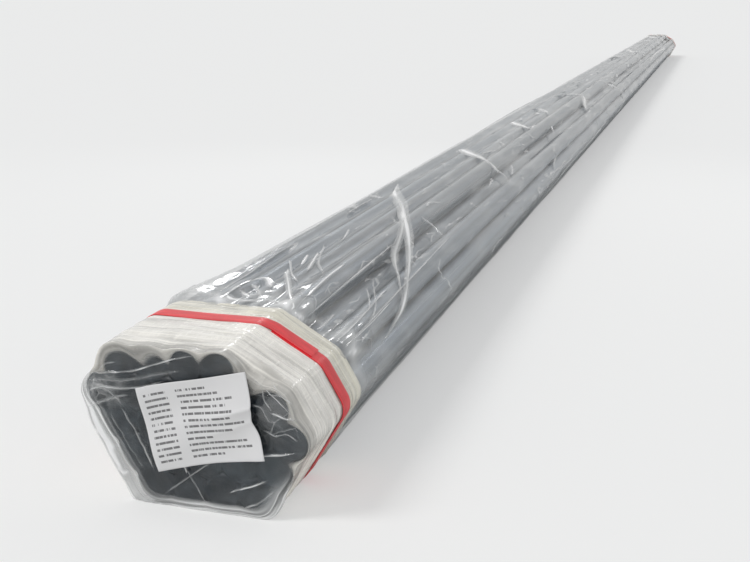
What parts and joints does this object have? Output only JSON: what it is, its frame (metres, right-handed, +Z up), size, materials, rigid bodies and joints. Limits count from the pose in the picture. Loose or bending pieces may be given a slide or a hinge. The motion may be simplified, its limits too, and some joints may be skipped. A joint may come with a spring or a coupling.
{
  "type": "bundle of steel pipes",
  "caption": "Bundle of round steel pipes with black end covers, wrapped in clear film, with milky wound collars, red straps and a paper label on one end.",
  "frame": {"origin": "under the middle of the bundle's box, on the surface that the straps rest on", "axes": "+Y along the pipes, away from the labelled end; +Z up; +X to the right when looking at the labelled end"},
  "size_m": [0.1738, 6.0033, 0.1214],
  "materials": {
    "pipe": "polished",
    "cover": "glossy",
    "clear_film": "glossy",
    "collar_film": "glossy",
    "strap": "satin",
    "label": "matte"
  },
  "bodies": {
    "root": {"pipe_01": "pipe", "pipe_02": "pipe", "pipe_03": "pipe", "pipe_04": "pipe", "pipe_05": "pipe", "pipe_06": "pipe", "pipe_07": "pipe", "pipe_08": "pipe", "pipe_09": "pipe", "pipe_10": "pipe", "pipe_11": "pipe", "pipe_12": "pipe", "pipe_13": "pipe", "pipe_14": "pipe", "pipe_15": "pipe", "pipe_16": "pipe", "pipe_17": "pipe", "pipe_18": "pipe", "pipe_19": "pipe", "pipe_20": "pipe", "pipe_21": "pipe", "pipe_22": "pipe", "pipe_23": "pipe", "pipe_24": "pipe", "pipe_25": "pipe", "end_cover_front": "cover", "end_cover_back": "cover", "end_film_front": "clear_film", "end_film_back": "clear_film", "body_film": "clear_film", "collar_front": "collar_film", "collar_back": "collar_film", "strap_front": "strap", "strap_back": "strap", "label": "label"}
  },
  "joints": []
}
